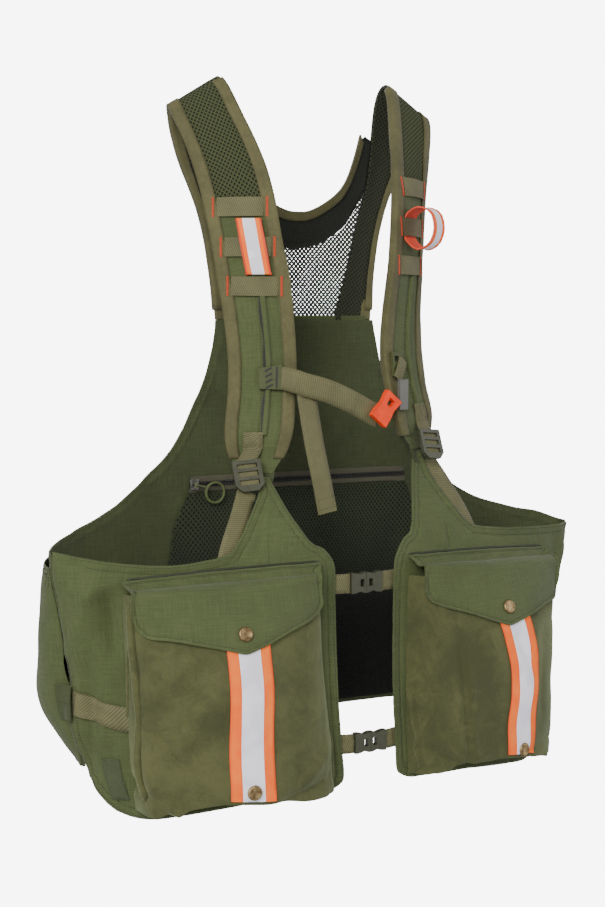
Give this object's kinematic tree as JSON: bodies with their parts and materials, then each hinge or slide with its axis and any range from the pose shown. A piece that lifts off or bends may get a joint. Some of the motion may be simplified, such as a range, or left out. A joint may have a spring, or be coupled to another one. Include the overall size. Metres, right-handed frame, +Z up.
{
  "type": "hunting vest",
  "caption": "Open-front hunting vest of olive cloth on padded shoulder straps, with two flapped bellows pockets, a game bag behind and high-visibility tape.",
  "frame": {"origin": "midway between the two shoulder straps, level with their crests, where the wearer's shoulders hold the vest", "axes": "+Z up, -Y the way the wearer faces, +X toward the wearer's left"},
  "size_m": [0.6304, 0.2744, 0.7535],
  "materials": {
    "ripstop": "matt olive ripstop cloth with a water-shedding finish",
    "suede": "napped olive suede-look cloth",
    "mesh": "dark green open mesh",
    "webbing": "ribbed tan-olive webbing",
    "binding": "khaki woven binding tape",
    "hivis": "bright orange tape with a silver reflective strip",
    "brass": "aged brass snap caps",
    "plastic": "moulded olive plastic",
    "orange_plastic": "moulded orange plastic",
    "grey_plastic": "moulded grey-green plastic",
    "zip_cloth": "brown-grey zip tape",
    "zip_metal": "dark grey cast zip slider",
    "puller": "green moulded ring puller",
    "label": "plain woven label"
  },
  "bodies": {
    "vest": {"back_panel": "ripstop", "game_bag": "ripstop", "front_right": "ripstop", "front_left": "ripstop", "flap_right": "ripstop", "flap_left": "ripstop", "pocket_right": "suede", "pocket_left": "suede", "back_lining": "mesh", "strap_right": "mesh", "strap_left": "mesh", "neck_yoke": "mesh", "yoke_net": "mesh", "bar_top_right": "webbing", "bar_middle_right": "webbing", "bar_low_right": "webbing", "bar_top_left": "webbing", "bar_middle_left": "webbing", "bar_low_left": "webbing", "ladder_web_right": "webbing", "ladder_web_left": "webbing", "ladder_tail_right": "webbing", "ladder_tail_left": "webbing", "chest_web": "webbing", "chest_tail": "webbing", "waist_web_upper_right": "webbing", "waist_web_upper_left": "webbing", "waist_web_lower_right": "webbing", "waist_web_lower_left": "webbing", "side_web_right": "webbing", "side_web_left": "webbing", "strap_binding_outer_right": "binding", "strap_binding_inner_right": "binding", "strap_binding_outer_left": "binding", "strap_binding_inner_left": "binding", "neck_binding": "binding", "marker_loop_right": "hivis", "marker_loop_left": "hivis", "marker_tape_right": "hivis", "marker_tape_left": "hivis", "flap_snap_right": "brass", "flap_snap_left": "brass", "tape_snap_right": "brass", "tape_snap_left": "brass", "ladder_lock_right": "plastic", "ladder_lock_left": "plastic", "chest_slider_right": "plastic", "chest_slider_left": "plastic", "waist_prong_upper": "plastic", "waist_socket_upper": "plastic", "waist_prong_lower": "plastic", "waist_socket_lower": "plastic", "chest_socket": "orange_plastic", "chest_prong": "grey_plastic", "zip_tape": "zip_cloth", "zip_slider": "zip_metal", "side_label": "label"},
    "zip_pull": {"zip_pull": "puller"}
  },
  "joints": [
    {"name": "zip_pull_swing", "type": "hinge", "parent": "vest", "child": "zip_pull", "pos_m": [-0.12941, -0.00451, -0.43297], "axis": [0, 0, -1], "range_deg": [0, 150]}
  ]
}
